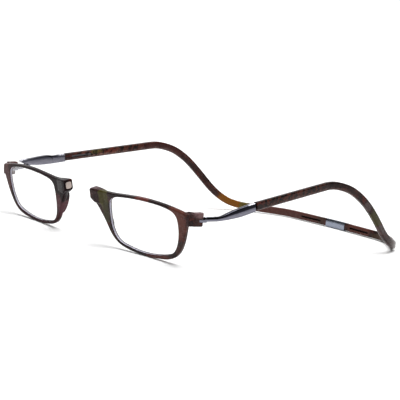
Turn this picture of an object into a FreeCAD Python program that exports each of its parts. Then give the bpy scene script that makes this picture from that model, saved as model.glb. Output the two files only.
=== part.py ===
import FreeCAD, Part
import math
import os
from FreeCAD import Vector as V

# Front-click reading glasses with a wrap-round headband, at rest on a level surface.
# Millimetres. Z up, Z = 0 is the surface. The wearer faces -Y, X = 0 is the symmetry plane.
# The model is drawn with Y = 0 at the bridge's front corner and moved by Y_MID at the end,
# so that the origin is the bottom centre of the whole object's box.
# Every left piece (+X) is mirrored to make the right piece, apart from the arm's leaf.

# ---------------------------------------------------------------- driving dimensions
Y_MID = 95.174            # middle of the object's length, from the bridge's front corner
HALF_GAP = 10.74          # half the open bridge gap
RIM_YAW = 4.75            # deg, temple end of the front lies further back
RIM_PITCH = 14.5          # deg, top of the front leans forward
RIM_H = 28.47             # height of the front in its own plane
RIM_LIFT = -0.11          # settles the rounded lower edge on the surface
RIM_DEPTH = 2.70          # front to back thickness of the rim
BLOCK_FRONT = 1.15        # how far the bridge block stands in front of the rim's front face
BLOCK_BACK = 4.00         # back of the bridge block, behind the rim's front face
BLOCK_H = 5.46            # height of the bridge end face
CLOSE_DEG = 3.60          # each side turns this much to bring the magnets together
FACE_GAP = 0.12           # half the gap that is left between the two end faces
LENS_T = 2.00             # lens thickness
LENS_LIP = 0.60           # how far the lens goes into the rim's groove
LENS_BACK = 0.30          # lens front face behind the rim's front face
MAG_W, MAG_H, MAG_L = 3.30, 3.45, 1.60      # magnet depth, height and length
EDGE_R = 0.55             # rounding of the rim's edges

PIN_X, PIN_Y = 77.00, 13.75                 # hinge screw axis
EAR_R = 1.80              # radius of the ears' round ends
EAR_TOP, SLOT_TOP, SLOT_BOT, EAR_BOT = 26.80, 23.85, 22.15, 20.30
SCREW_R = 0.60
EYE_CLEAR_R = 0.05        # radial running clearance of the eye on the screw
EYE_CLEAR_Z = 0.09        # clearance above and below the eye
ROD_R = 1.22              # arm's round rod
ROD_Z = 23.70             # height of the rod's centre line
ARM_X = 77.95             # arm's centre plane
ARM_T = 1.90              # thickness of the arm's front part
PLATE_T = 2.05            # thickness of the flattened part, flush with ARM_T on the inner side
ROOT_IN = 3.00            # length of the steel strip that is held in the arm

BAND_W = 4.10             # band height across its flat face
BAND_T = 2.60             # band thickness
BAND_EDGE = 0.45          # chamfer along the band's edges
REAR_W = 4.35             # height of the rear band at the connector
REAR_SLOT_A, REAR_SLOT_L = 4.15, 15.50      # rear adjusting slot: start from the connector, length
S0 = V(78.18, 47.38, 29.36)                 # front end of the side band
S1 = V(71.38, 101.45, 37.49)                # end of its straight run, over the ear
BLADE_T, BLADE_W = 0.70, 2.30               # steel strip
BLADE_CLEAR = 0.10        # clearance all round the strip in the band
TEMPLE_TRAVEL = 10.0      # the arm pulls out of the band by this much
TEMPLE_IN = 36.0          # length of strip inside the band at rest
REAR_TRAVEL = 12.0        # each rear band pulls out from the connector by this much
REAR_IN = 24.5            # length of strip inside the rear band at rest
SLOT_W = 1.00             # height of the adjusting slots
LUG_L = 1.80              # length of the stop lugs along the slot

FLEX_X, FLEX_Y = 60.80, 170.90              # vertical axis of the back corner
FLEX_CLEAR = 0.10         # radial clearance of the corner's round end in its seat

CONN_BULGE = 0.20         # how far the middle of the rear connector lies behind its ends
CONN_H = 4.70             # connector height
CONN_T = 2.60             # connector thickness

# outline of the half front in its own plane: u from the bridge end towards the temple,
# v up from the top corner of the bridge block
OUTER = [(0.00, -5.46), (1.96, -7.21), (3.60, -8.76), (5.15, -10.81), (6.70, -12.98), (8.24, -15.35),
         (9.68, -17.92), (11.12, -20.50), (12.67, -22.56), (14.63, -24.41), (17.61, -26.16),
         (21.12, -27.19), (24.72, -27.81), (28.84, -28.22), (35.02, -28.47), (41.20, -28.32),
         (45.32, -27.91), (49.44, -27.40), (52.53, -26.57), (55.62, -25.13), (58.71, -22.45),
         (61.29, -18.44), (63.04, -14.42), (64.22, -10.81), (65.28, -7.42), (65.72, -4.90),
         (65.60, -3.10), (65.10, -1.95)]
TOP = [(0.00, 0.00), (3.30, -0.12), (8.24, -0.52), (14.42, -0.52), (20.60, -0.10), (27.81, 0.41),
       (35.02, 0.77), (42.23, 0.67), (49.44, 0.26), (55.62, -0.41), (61.80, -1.34), (65.10, -1.95)]
APERTURE = [(12.88, -5.77), (12.57, -8.55), (12.57, -11.54), (12.77, -14.94), (13.29, -17.72),
            (14.32, -20.50), (15.96, -22.76), (18.33, -24.41), (21.53, -25.34), (24.82, -25.85),
            (28.63, -26.37), (32.96, -26.68), (38.52, -26.57), (42.33, -26.16), (45.84, -25.65),
            (49.23, -24.93), (52.53, -23.90), (55.11, -22.35), (56.96, -19.98), (58.30, -17.00),
            (59.12, -13.60), (59.43, -10.09), (59.23, -6.90), (58.50, -4.53), (57.06, -2.99),
            (54.90, -2.06), (51.71, -1.39), (46.35, -0.88), (38.52, -0.67), (31.62, -0.82),
            (25.13, -1.18), (20.60, -1.65), (17.10, -2.27), (14.73, -3.19), (13.39, -4.43)]
# nose pad: runs down the bridge-side bar from PAD_TOP to PAD_LOW and stands out behind it
PAD_TOP, PAD_LOW = (2.9, -7.0), (10.6, -20.2)
PAD_OUT = 2.1             # how far the pad stands behind the rim's back face
PAD_T = 1.70

# side views of the flattened arms, (y, z): upper edge, lower edge and the leaf-shaped boss on the inner face.
# The right arm's leaf starts further forward and sits higher than the left one.
LEFT_UPPER = [(22.66, 24.90), (24.82, 24.95), (27.81, 25.70), (31.41, 27.05), (35.12, 28.20), (39.45, 29.40),
              (42.54, 30.20), (46.56, 31.10)]
LEFT_LOWER = [(22.66, 22.55), (25.13, 22.70), (28.22, 22.98), (32.03, 23.45), (35.74, 23.97),
              (40.17, 24.88), (43.26, 25.68), (47.38, 26.80)]
LEFT_LEAF = [(20.6, 23.9), (22.4, 24.5), (25.0, 24.65), (28.0, 25.4), (31.5, 26.65), (35.1, 27.75), (37.8, 28.4),
             (39.6, 28.3), (40.3, 27.4), (39.9, 26.2), (38.2, 25.1), (35.5, 24.45), (32.0, 23.9), (28.2, 23.45),
             (24.5, 23.2), (21.6, 23.3)]
RIGHT_UPPER = [(17.60, 27.05), (19.30, 27.72), (21.90, 28.20), (24.50, 28.62), (27.00, 29.10), (29.60, 29.60),
               (32.90, 30.12), (36.20, 30.40), (38.60, 30.20), (40.60, 30.35), (42.90, 30.75), (46.56, 31.21)]
RIGHT_LOWER = [(17.60, 26.55), (19.90, 25.80), (22.50, 25.12), (25.20, 24.95), (27.80, 24.90), (30.50, 24.98),
               (33.80, 25.22), (37.10, 25.58), (40.40, 26.00), (43.80, 26.45), (47.38, 26.95)]
RIGHT_LEAF = [(18.6, 26.6), (20.0, 27.2), (22.5, 27.75), (26.0, 28.4), (29.6, 29.1), (32.9, 29.62), (35.8, 29.85),
              (37.4, 29.5), (38.3, 28.6), (38.4, 27.4), (37.2, 26.4), (34.6, 25.75), (31.0, 25.45), (27.5, 25.38),
              (24.0, 25.5), (20.8, 26.0)]
LEFT_ROD = [(23.6, 0.0)]                    # rod's end, (y, rise of its centre line)
RIGHT_ROD = [(18.4, 0.0), (20.0, 0.22), (21.6, 0.75), (23.2, 1.50), (25.0, 2.30), (27.0, 2.95)]
LEAF_T = 0.50

# centre line of the curved part of the side band, ear to back corner
SIDE = [(71.22, 105.58, 37.85), (71.22, 110.21, 37.59), (71.28, 114.33, 36.87), (71.28, 118.45, 35.84),
        (71.17, 122.36, 34.40), (71.07, 126.28, 32.45), (70.97, 130.30, 30.08), (70.81, 134.62, 26.99),
        (70.45, 139.26, 23.18), (69.83, 144.20, 18.75), (68.91, 149.35, 14.01), (67.77, 154.29, 9.99),
        (66.80, 158.55, 7.31), (65.65, 162.35, 5.36), (64.20, 165.65, 4.22), (62.55, 168.45, 3.50),
        (60.80, 170.90, 3.09)]
# centre line of the rear band, back corner to the connector
REAR = [(60.80, 170.90, 3.09), (58.50, 173.15, 2.88), (55.30, 176.10, 2.70), (51.40, 179.50, 2.58),
        (47.20, 182.90, 2.50), (42.80, 185.70, 2.46), (38.20, 187.50, 2.45), (33.48, 188.50, 2.45)]
REAR_END = V(7.42, 189.80, 2.45)

os.makedirs("parts", exist_ok=True)


# ---------------------------------------------------------------- helpers
def spline(points, closed=False, tangents=None):
    """Smooth curve through the points."""
    curve = Part.BSplineCurve()
    curve.interpolate(Points=[V(*p) for p in points], PeriodicFlag=closed)
    return curve.toShape()


def solid_of(shape):
    """The one solid of a boolean result."""
    shape = shape.removeSplitter()
    if shape.ShapeType != "Solid":
        big = sorted(shape.Solids, key=lambda s: -s.Volume)
        shape = big[0]
    return shape


def prism(points, direction):
    """Straight-sided solid on a flat polygon."""
    pts = [V(*p) for p in points]
    face = Part.Face(Part.makePolygon(pts + [pts[0]]))
    return face.extrude(direction)


def side_frame(tangent):
    """Flat direction (through the thickness) and height direction of the band."""
    t = V(tangent).normalize()
    n = t.cross(V(0, 0, 1)).normalize()
    b = n.cross(t).normalize()
    return n, b


def section(centre, tangent, thick, wide, edge, level=False):
    """Closed chamfered rectangle across the band."""
    t = V(tangent)
    if level:
        t.z = 0
    n, b = side_frame(t)
    a, w, c = thick / 2, wide / 2, edge
    pts = []
    for x, z in ((-a, -w + c), (-a + c, -w), (a - c, -w), (a, -w + c),
                 (a, w - c), (a - c, w), (-a + c, w), (-a, w - c)):
        pts.append(centre + n * x + b * z)
    return Part.makePolygon(pts + [pts[0]])


def tangents(points):
    out = []
    for i in range(len(points)):
        a = points[max(i - 1, 0)]
        b = points[min(i + 1, len(points) - 1)]
        out.append((b - a).normalize())
    return out


def bar(start, direction, length, thick, wide, edge=0.0, up=None):
    """Straight bar with the band's section frame."""
    d = V(direction).normalize()
    if edge > 0:
        wire = section(start, d, thick, wide, edge)
    else:
        n, b = side_frame(d)
        pts = [start + n * x + b * z for x, z in ((-thick / 2, -wide / 2), (thick / 2, -wide / 2),
                                                  (thick / 2, wide / 2), (-thick / 2, wide / 2))]
        wire = Part.makePolygon(pts + [pts[0]])
    return Part.Face(wire).extrude(d * length)


def fillet_or_keep(shape, radius, choose):
    """Round the chosen edges; step the radius down where the shape is too tight for it."""
    edges = [e for e in shape.Edges if choose(e)]
    for r in (radius, radius * 0.7, radius * 0.45):
        try:
            out = shape.makeFillet(r, edges)
            if out.isValid() and len(out.Solids) == 1 and out.Volume > 0:
                return out
        except Exception:
            pass
    return shape


# ---------------------------------------------------------------- frame of the left half front
psi, phi = math.radians(RIM_YAW), math.radians(RIM_PITCH)
U = V(math.cos(psi), math.sin(psi), 0)
N0 = V(math.sin(psi), -math.cos(psi), 0)
N = N0 * math.cos(phi) - V(0, 0, 1) * math.sin(phi)
W = V(0, 0, 1) * math.cos(phi) + N0 * math.sin(phi)
O = V(HALF_GAP, 0, RIM_H * math.cos(phi) + RIM_LIFT)
PLACE = FreeCAD.Placement(FreeCAD.Matrix(U.x, W.x, N.x, O.x,
                                         U.y, W.y, N.y, O.y,
                                         U.z, W.z, N.z, O.z,
                                         0, 0, 0, 1))


def to_world(shape):
    s = shape.copy()
    s.Placement = PLACE.multiply(s.Placement)
    return s


def local_to_world(u, v, n):
    return O + U * u + W * v + N * n


# ---------------------------------------------------------------- rim
bottom_edge = spline([(u, v, 0) for u, v in OUTER])
top_edge = spline([(u, v, 0) for u, v in TOP])
end_edge = Part.makeLine(V(0, 0, 0), V(0, OUTER[0][1], 0))
outer_wire = Part.Wire([end_edge, bottom_edge, top_edge.reversed()])
aper_wire = Part.Wire([spline([(u, v, 0) for u, v in APERTURE], closed=True)])
plate = Part.Face(outer_wire).extrude(V(0, 0, -RIM_DEPTH))
hole = Part.Face(aper_wire).extrude(V(0, 0, -RIM_DEPTH - 2))
hole.translate(V(0, 0, 1))
ring = plate.cut(hole)


def long_front_back(e):
    """Curved edges of the front and back faces, not those of the end face."""
    b = e.BoundBox
    return b.ZLength < 1e-3 and b.XLength > 20


def back_outer(e):
    """Lower outer edge of the back face."""
    return long_front_back(e) and abs(e.BoundBox.ZMax + RIM_DEPTH) < 1e-3 and e.BoundBox.YLength > 20 \
        and e.BoundBox.XLength > 60


ring = fillet_or_keep(ring, 1.10, back_outer)
ring = fillet_or_keep(ring, EDGE_R, lambda e: long_front_back(e) and not back_outer(e)
                      and not (abs(e.BoundBox.ZMax + RIM_DEPTH) > 1e-3 and e.BoundBox.ZMax < -0.1))

# bridge block, deeper than the rim to the front and to the back, fading into it by u = 11

def block_ring(u, n_front, n_back, v_top, v_bot, c):
    """Chamfered rectangle across the block at u."""
    pts = [(n_front - c, v_top), (n_back + c, v_top), (n_back, v_top - c), (n_back, v_bot + c),
           (n_back + c, v_bot), (n_front - c, v_bot), (n_front, v_bot + c), (n_front, v_top - c)]
    pts = [V(u, v, n) for n, v in pts]
    return Part.makePolygon(pts + [pts[0]])


block = Part.makeLoft([block_ring(-0.60, BLOCK_FRONT, -BLOCK_BACK, 0.03, -BLOCK_H + 0.45, 0.60),
                       block_ring(2.40, BLOCK_FRONT - 0.10, -BLOCK_BACK + 0.10, -0.06, -7.10, 0.60),
                       block_ring(6.50, 0.45, -3.55, -0.40, -7.60, 0.55),
                       block_ring(11.20, -0.40, -2.30, -0.70, -6.60, 0.40)], True, True)
rim = ring.fuse(block)

# nose pad: a thin half-ellipse plate along the bridge-side bar
run = V(PAD_LOW[0] - PAD_TOP[0], PAD_LOW[1] - PAD_TOP[1], 0)
pad_len = run.Length
run.normalize()
across = V(0, 0, 1).cross(run).normalize()          # towards the lens
if across.x < 0:
    across = across * -1
pad_pts = []
for k in range(0, 13):
    a = math.pi * k / 12
    s = pad_len / 2 * (1 - math.cos(a))
    out = (PAD_OUT + 1.2) * math.sin(a) ** 0.75 if 0 < k < 12 else 0.0
    lean = 0.16 * out
    p = V(PAD_TOP[0], PAD_TOP[1], -RIM_DEPTH + 1.2) + run * s + V(0, 0, -out) + across * (0.25 + lean)
    pad_pts.append(p)
pad_face = Part.Face(Part.makePolygon(pad_pts + [pad_pts[0]]))
pad = pad_face.extrude(across * PAD_T)
rim = rim.fuse(pad)
rim = to_world(solid_of(rim))

# endpiece with the two ears of the hinge
def flat_pt(x, y):
    return V(x, y, EAR_BOT)


end_line = [(PIN_X - EAR_R, PIN_Y), (PIN_X - EAR_R, 11.6), (74.9, 10.4), (73.6, 8.9), (73.4, 6.0), (75.4, 6.0),
            (76.7, 6.9), (77.8, 8.8), (78.5, 11.0), (PIN_X + EAR_R, PIN_Y)]
end_wire = [Part.makeLine(flat_pt(*p), flat_pt(*q)) for p, q in zip(end_line, end_line[1:])]
end_wire.append(Part.Arc(flat_pt(PIN_X + EAR_R, PIN_Y), flat_pt(PIN_X, PIN_Y + EAR_R),
                         flat_pt(PIN_X - EAR_R, PIN_Y)).toShape())
endpiece = Part.Face(Part.Wire(end_wire)).extrude(V(0, 0, EAR_TOP - EAR_BOT))
endpiece = fillet_or_keep(endpiece, 0.5, lambda e: e.BoundBox.ZLength < 1e-6 and e.BoundBox.YMax > 10.5)
# the underside slopes from the rim's outline to the lower ear
under = prism([(70, 0, EAR_BOT - 0.1), (70, 0, EAR_BOT + 1.2), (76.0, 0, EAR_BOT - 0.1)], V(0, 20, 0))
endpiece = endpiece.cut(under)
# nothing stands in front of the rim's front face or above its top edge
front_off = to_world(Part.makeBox(120, 80, 20, V(-20, -50, -0.15)))
top_off = to_world(prism([(50, 0.1, 20), (65.10, -1.90, 20), (90, -5.2, 20), (90, 30, 20), (50, 30, 20)], V(0, 0, -23.5)))
endpiece = endpiece.cut(front_off).cut(top_off)
slot = Part.makeBox(20, 20, SLOT_TOP - SLOT_BOT, V(PIN_X - 10, PIN_Y, SLOT_BOT))
slot = slot.fuse(Part.makeBox(10, 20, SLOT_TOP - SLOT_BOT, V(PIN_X - 10, PIN_Y - 1.25, SLOT_BOT)))
slot = slot.fuse(Part.makeCylinder(EAR_R + 0.15, SLOT_TOP - SLOT_BOT, V(PIN_X, PIN_Y, SLOT_BOT)))
rim = rim.fuse(endpiece).cut(slot)

# hinge screw with a flat countersunk head in the upper ear
screw = Part.makeCylinder(SCREW_R, EAR_TOP - EAR_BOT - 0.7, V(PIN_X, PIN_Y, EAR_BOT + 0.3))
screw = screw.fuse(Part.makeCone(SCREW_R, 0.95, 0.40, V(PIN_X, PIN_Y, EAR_TOP - 0.80)))
screw = screw.fuse(Part.makeCylinder(0.95, 0.25, V(PIN_X, PIN_Y, EAR_TOP - 0.40)))
screw = solid_of(screw)
rim = rim.cut(screw)
rim = rim.cut(Part.makeCylinder(0.95, 1.0, V(PIN_X, PIN_Y, EAR_TOP - 0.15)))
screw = screw.cut(Part.makeBox(2.6, 0.34, 0.25, V(PIN_X - 1.3, PIN_Y - 0.17, EAR_TOP - 0.40)))

# lens, a flat disc in a groove all round the aperture
cu = sum(p[0] for p in APERTURE) / len(APERTURE)
cv = sum(p[1] for p in APERTURE) / len(APERTURE)
lens_pts = []
n_ap = len(APERTURE)
for i, (u, v) in enumerate(APERTURE):
    a, b = APERTURE[i - 1], APERTURE[(i + 1) % n_ap]
    tx, ty = b[0] - a[0], b[1] - a[1]
    ln = math.hypot(tx, ty)
    nx, ny = -ty / ln, tx / ln
    if nx * (u - cu) + ny * (v - cv) < 0:
        nx, ny = -nx, -ny
    lens_pts.append((u, v, nx, ny))


def lens_disc(lip, back, thick):
    """Flat disc with the aperture's outline grown by lip."""
    pts = [(u + nx * lip, v + ny * lip, -back) for u, v, nx, ny in lens_pts]
    return to_world(Part.Face(Part.Wire([spline(pts, closed=True)])).extrude(V(0, 0, -thick)))


lens = lens_disc(LENS_LIP, LENS_BACK, LENS_T)
rim = rim.cut(lens_disc(LENS_LIP + 0.05, LENS_BACK, LENS_T))

# the end face is square to X when the side is turned to its closed place, and the magnet sits in it
turn = math.radians(CLOSE_DEG)


def closed_to_rest(p):
    """A point of the closed pose, carried back to the pose at rest."""
    dx, dy = p.x - FLEX_X, p.y - FLEX_Y
    return V(FLEX_X + dx * math.cos(turn) - dy * math.sin(turn),
             FLEX_Y + dx * math.sin(turn) + dy * math.cos(turn), p.z)


face_n = closed_to_rest(V(FLEX_X + 1, FLEX_Y, 0)) - V(FLEX_X, FLEX_Y, 0)
face_pt = closed_to_rest(V(FACE_GAP, 4.0, 0))
face_y = face_n.cross(V(0, 0, 1)) * -1
away = Part.makeBox(30, 60, 60, V(0, 0, 0))
pl = FreeCAD.Placement(FreeCAD.Matrix(face_n.x, face_y.x, 0, 0, face_n.y, face_y.y, 0, 0, 0, 0, 1, 0, 0, 0, 0, 1))
away.Placement = FreeCAD.Placement(face_pt - face_n * 30 - face_y * 30 - V(0, 0, 10), pl.Rotation)
rim = rim.cut(away)

mag_c = local_to_world(0, -BLOCK_H / 2 - 0.25, (BLOCK_FRONT - BLOCK_BACK) / 2 - 0.20)
shift = (mag_c - face_pt).dot(face_n)
mag_c = mag_c - face_n * shift + face_n * 0.02      # on the end face, a hair below it
mag = Part.makeBox(MAG_L, MAG_W, MAG_H, V(0, -MAG_W / 2, -MAG_H / 2))
mag = fillet_or_keep(mag, 0.9, lambda e: abs(e.BoundBox.XLength - MAG_L) < 1e-6)
yy = N * -1
yy = (yy - face_n * yy.dot(face_n)).normalize()
zz = face_n.cross(yy)
mag.Placement = FreeCAD.Placement(FreeCAD.Matrix(face_n.x, yy.x, zz.x, mag_c.x, face_n.y, yy.y, zz.y, mag_c.y,
                                                 face_n.z, yy.z, zz.z, mag_c.z, 0, 0, 0, 1))
pocket = mag.copy()
pocket_ext = mag.copy()
pocket_ext.translate(face_n * -0.5)
rim = rim.cut(pocket).cut(pocket_ext)
rim = solid_of(rim)

# ---------------------------------------------------------------- temple arm
eye_t = SLOT_TOP - SLOT_BOT - 2 * EYE_CLEAR_Z
eye_z = SLOT_BOT + EYE_CLEAR_Z
rod_y0 = PIN_Y + EAR_R + 0.35
d_band = (S1 - S0).normalize()
n_band, b_band = side_frame(d_band)


def make_arm(rod_run, upper_pts, lower_pts, leaf_pts):
    """Eye, rod, flattened part and leaf boss of one arm, drawn on the left side."""
    stations = [(rod_y0, 0.0), (rod_y0 + 0.6, 0.0)] + rod_run
    if len(rod_run) == 1:
        rod = Part.makeCylinder(ROD_R, rod_run[0][0] - rod_y0, V(ARM_X, rod_y0, ROD_Z), V(0, 1, 0))
    else:
        rings = []
        for i, (y, rise) in enumerate(stations):
            ya, ra = stations[max(i - 1, 0)]
            yb, rb = stations[min(i + 1, len(stations) - 1)]
            way = V(0, yb - ya, rb - ra)
            rings.append(Part.Wire(Part.makeCircle(ROD_R, V(ARM_X, y, ROD_Z + rise), way)))
        rod = Part.makeLoft(rings, True, False)
    rod = fillet_or_keep(rod, 0.25, lambda e: abs(e.BoundBox.YMin - rod_y0) < 1e-4 and e.BoundBox.YLength < 1e-4)
    x0 = ARM_X - ARM_T / 2
    lower = spline([(x0, y, z) for y, z in lower_pts])
    upper = spline([(x0, y, z) for y, z in upper_pts])
    front = Part.makeLine(V(x0, *upper_pts[0]), V(x0, *lower_pts[0]))
    back = Part.makeLine(V(x0, *lower_pts[-1]), V(x0, *upper_pts[-1]))
    plate = Part.Face(Part.Wire([front, lower, back, upper.reversed()])).extrude(V(PLATE_T, 0, 0))
    plate = fillet_or_keep(plate, 0.6, lambda e: e.BoundBox.XLength < 1e-6 and e.BoundBox.YLength > 15)
    leaf_edge = spline([(x0 + 0.3, y, z) for y, z in leaf_pts], closed=True)
    leaf = Part.Face(Part.Wire([leaf_edge])).extrude(V(-LEAF_T - 0.3, 0, 0))
    eye = Part.makeCylinder(EAR_R - 0.10, eye_t, V(PIN_X, PIN_Y, eye_z))
    tongue = Part.makeBox(2.75, 3.2, eye_t, V(PIN_X - 0.95, PIN_Y, eye_z))
    return eye.fuse(tongue).fuse(rod).fuse(plate).fuse(leaf)


# the cuff ends square to the band
cut_back = bar(S0 - d_band * 0.12, d_band, 12, 12, 14)
bore = Part.makeCylinder(SCREW_R + EYE_CLEAR_R, 6, V(PIN_X, PIN_Y, SLOT_BOT - 2))

# steel strip: its root inside the cuff, the rest in the band
blade = bar(S0 - d_band * ROOT_IN, d_band, ROOT_IN + TEMPLE_IN, BLADE_T, BLADE_W)
arm = solid_of(make_arm(LEFT_ROD, LEFT_UPPER, LEFT_LOWER, LEFT_LEAF).cut(cut_back).cut(bore).cut(blade))
arm_r = solid_of(make_arm(RIGHT_ROD, RIGHT_UPPER, RIGHT_LOWER, RIGHT_LEAF).cut(cut_back).cut(bore).cut(blade))

# ---------------------------------------------------------------- side band
path = [S1] + [V(*p) for p in SIDE]
tan = tangents(path)
tan[0] = d_band
tan[-1] = V(tan[-1].x, tan[-1].y, 0).normalize()
flex_t = V(tan[-1])
wires = [section(p, t, BAND_T, BAND_W, BAND_EDGE) for p, t in zip(path, tan)]
curved = Part.makeLoft(wires, True, False)
straight = bar(S0, d_band, (S1 - S0).Length, BAND_T, BAND_W, BAND_EDGE)
# round end at the back corner, on the vertical flex axis
knuckle_z = path[-1].z
knuckle = Part.makeCylinder(BAND_T / 2, BAND_W, V(FLEX_X, FLEX_Y, knuckle_z - BAND_W / 2))
knuckle = knuckle.makeChamfer(BAND_EDGE, [e for e in knuckle.Edges if e.BoundBox.ZLength < 1e-6])
side = straight.fuse(curved).fuse(knuckle)
cavity = bar(S0 - d_band * 1, d_band, TEMPLE_IN + 1.3, BLADE_T + 2 * BLADE_CLEAR, BLADE_W + 2 * BLADE_CLEAR)
side = side.cut(cavity)
# slot on the inner face, where the lug shows
slot_a = 4.0
lug_s = slot_a + TEMPLE_TRAVEL + LUG_L / 2 + 0.15
slot_len = TEMPLE_TRAVEL + LUG_L + 0.3
inner = n_band * -1 if n_band.x > 0 else V(n_band)


def pocket_box(start, d, inner_dir, length, wide, depth_from, depth_to):
    """Box that runs along d, of height wide, from depth_from to depth_to on the inner side."""
    n, b = side_frame(d)
    q = [start + b * (-wide / 2) + inner_dir * depth_from, start + b * (wide / 2) + inner_dir * depth_from,
         start + b * (wide / 2) + inner_dir * depth_to, start + b * (-wide / 2) + inner_dir * depth_to]
    return Part.Face(Part.makePolygon(q + [q[0]])).extrude(V(d).normalize() * length)


side = side.cut(pocket_box(S0 + d_band * slot_a, d_band, inner, slot_len, SLOT_W, 0.0, BAND_T))
side = solid_of(side)
lug = pocket_box(S0 + d_band * (lug_s - LUG_L / 2), d_band, inner, LUG_L, SLOT_W - 0.2, BLADE_T / 2, BAND_T / 2 - 0.1)
temple_lug = lug

# ---------------------------------------------------------------- rear band
rpath = [V(*p) for p in REAR]
d_rear = (REAR_END - rpath[-1]).normalize()          # towards the connector
rtan = tangents(rpath)
rtan[0] = V(flex_t)
rtan[-1] = V(d_rear)
rwide = [BAND_W + (REAR_W - BAND_W) * i / (len(rpath) - 1) for i in range(len(rpath))]
rw = [section(p, t, BAND_T, w, BAND_EDGE) for p, t, w in zip(rpath, rtan, rwide)]
rcurved = Part.makeLoft(rw, True, False)
rstraight = bar(rpath[-1], d_rear, (REAR_END - rpath[-1]).Length - 0.05, BAND_T, REAR_W, BAND_EDGE)
rear = rcurved.fuse(rstraight)
seat = Part.makeCylinder(BAND_T / 2 + FLEX_CLEAR, BAND_W + 6, V(FLEX_X, FLEX_Y, knuckle_z - BAND_W / 2 - 3))
rear = rear.cut(seat)
rcav = bar(REAR_END + d_rear * 1, d_rear * -1, REAR_IN + 1.3, BLADE_T + 2 * BLADE_CLEAR, BLADE_W + 2 * BLADE_CLEAR)
rear = rear.cut(rcav)
n_rear, b_rear = side_frame(d_rear)
inner_r = n_rear if n_rear.y < 0 else n_rear * -1
out_r = d_rear * -1                                   # away from the connector
rear = rear.cut(pocket_box(REAR_END + out_r * REAR_SLOT_A, out_r, inner_r, REAR_SLOT_L, SLOT_W, 0.0, BAND_T))
rear = solid_of(rear)
# the lug starts at the outer end of the slot and the band moves outwards past it
rl_s = REAR_SLOT_A + REAR_SLOT_L - 0.3 - LUG_L
rear_lug = pocket_box(REAR_END + out_r * rl_s, out_r, inner_r, LUG_L, SLOT_W - 0.2, BLADE_T / 2, BAND_T / 2 - 0.1)
rear_blade = bar(REAR_END + d_rear * 6.0, out_r, 6.0 + REAR_IN, BLADE_T, BLADE_W)

# ---------------------------------------------------------------- rear connector
left_t = V(-d_rear.x, -d_rear.y, 0)                   # outwards on the left
n_out = V(-left_t.y, left_t.x, 0)                     # towards the back
if n_out.y < 0:
    n_out = n_out * -1
e_back = REAR_END + n_out * (CONN_T / 2)
e_front = REAR_END - n_out * (CONN_T / 2)
mid_y = REAR_END.y + CONN_BULGE
m_back = V(0, mid_y + CONN_T / 2, 0)
m_front = V(0, mid_y - CONN_T / 2, 0)
z0 = 0.0


def flat(p, z):
    return V(p.x, p.y, z)


back_arc = Part.Arc(flat(e_back, z0), flat(m_back, z0), V(-e_back.x, e_back.y, z0)).toShape()
front_arc = Part.Arc(V(-e_front.x, e_front.y, z0), flat(m_front, z0), flat(e_front, z0)).toShape()
r_end = Part.makeLine(V(-e_back.x, e_back.y, z0), V(-e_front.x, e_front.y, z0))
l_end = Part.makeLine(flat(e_front, z0), flat(e_back, z0))
connector = Part.Face(Part.Wire([back_arc, r_end, front_arc, l_end])).extrude(V(0, 0, CONN_H))
connector = fillet_or_keep(connector, 0.45, lambda e: e.BoundBox.ZLength < 1e-6 and e.BoundBox.XLength > 8)


# ---------------------------------------------------------------- export
def mirrored(shape):
    return shape.mirror(V(0, 0, 0), V(1, 0, 0))


connector = connector.cut(rear_blade).cut(mirrored(rear_blade))
connector = solid_of(connector)

LEFT = {"rim": rim, "lens": lens, "bridge_magnet": mag, "hinge_screw": screw, "temple_arm": arm,
        "temple_blade": blade, "temple_stop_pin": temple_lug, "side_band": side, "rear_band": rear,
        "rear_blade": rear_blade, "rear_stop_pin": rear_lug}
nodes = {"rear_connector": connector}
for name, shape in LEFT.items():
    nodes["left_" + name] = shape
    nodes["right_" + name] = mirrored(arm_r if name == "temple_arm" else shape)

box = FreeCAD.BoundBox()
for name in sorted(nodes):
    s = nodes[name].copy()
    s.translate(V(0, -Y_MID, 0))
    box.add(s.BoundBox)
    s.exportStep("parts/" + name + ".step")
    print("%-24s solids %d valid %s volume %.2f" % (name, len(s.Solids), s.isValid(), s.Volume))
print("box X %.3f %.3f  Y %.3f %.3f  Z %.3f %.3f" % (box.XMin, box.XMax, box.YMin, box.YMax, box.ZMin, box.ZMax))
print("d_band", d_band, "d_rear", d_rear, "flex_t", flex_t, "face_n", face_n, "mag_c", mag_c)
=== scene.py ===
import math

import bmesh
import bpy
import numpy as np
from mathutils import Matrix, Vector


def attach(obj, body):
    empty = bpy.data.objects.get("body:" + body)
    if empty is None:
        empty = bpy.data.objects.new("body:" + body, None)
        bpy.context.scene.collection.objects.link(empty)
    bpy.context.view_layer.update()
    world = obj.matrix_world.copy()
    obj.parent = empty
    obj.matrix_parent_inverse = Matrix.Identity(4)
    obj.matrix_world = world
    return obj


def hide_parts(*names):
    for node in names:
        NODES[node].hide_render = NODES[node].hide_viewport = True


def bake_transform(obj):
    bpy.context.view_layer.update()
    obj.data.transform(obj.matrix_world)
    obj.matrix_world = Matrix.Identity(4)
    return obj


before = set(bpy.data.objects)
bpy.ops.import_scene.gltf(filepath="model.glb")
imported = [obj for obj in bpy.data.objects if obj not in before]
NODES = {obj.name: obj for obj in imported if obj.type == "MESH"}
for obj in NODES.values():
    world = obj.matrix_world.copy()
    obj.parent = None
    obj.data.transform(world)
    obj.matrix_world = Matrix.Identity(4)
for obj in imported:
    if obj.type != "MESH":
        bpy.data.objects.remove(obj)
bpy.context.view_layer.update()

MM = 0.001
Y_MID = 95.174
SIDES = (("left", 1.0), ("right", -1.0))

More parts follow.
